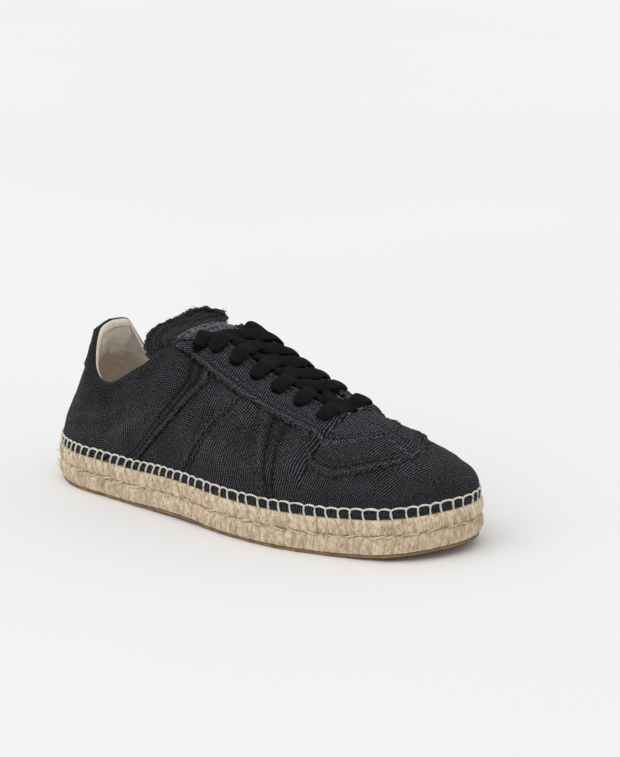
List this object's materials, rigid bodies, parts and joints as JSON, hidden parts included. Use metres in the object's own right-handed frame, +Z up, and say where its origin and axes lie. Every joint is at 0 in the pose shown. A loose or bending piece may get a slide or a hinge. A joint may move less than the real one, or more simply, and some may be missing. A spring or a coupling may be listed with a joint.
{
  "type": "sneaker",
  "caption": "Low lace-up canvas sneaker for the right foot on a plaited jute sole with a thin rubber outsole.",
  "frame": {"origin": "middle of the shoe's box in plan, on the floor that it stands on", "axes": "+X from heel to toe, +Y to the wearer's left (the medial side of this right shoe), +Z up"},
  "size_m": [0.2902, 0.1046, 0.1132],
  "materials": {
    "gum_rubber": "matte",
    "jute_braid": "matte",
    "washed_black_canvas": "matte",
    "faded_canvas": "matte",
    "beige_cotton_lining": "matte",
    "black_cotton_lace": "matte"
  },
  "bodies": {
    "root": {"outsole": "gum_rubber", "midsole": "jute_braid", "insole": "beige_cotton_lining", "upper": "washed_black_canvas", "eyestay": "faded_canvas", "vamp_strip": "faded_canvas", "vamp_panel_lateral": "washed_black_canvas", "vamp_panel_medial": "washed_black_canvas", "heel_tab": "washed_black_canvas", "tongue": "washed_black_canvas", "tongue_patch": "faded_canvas", "laces": "black_cotton_lace"}
  },
  "joints": []
}
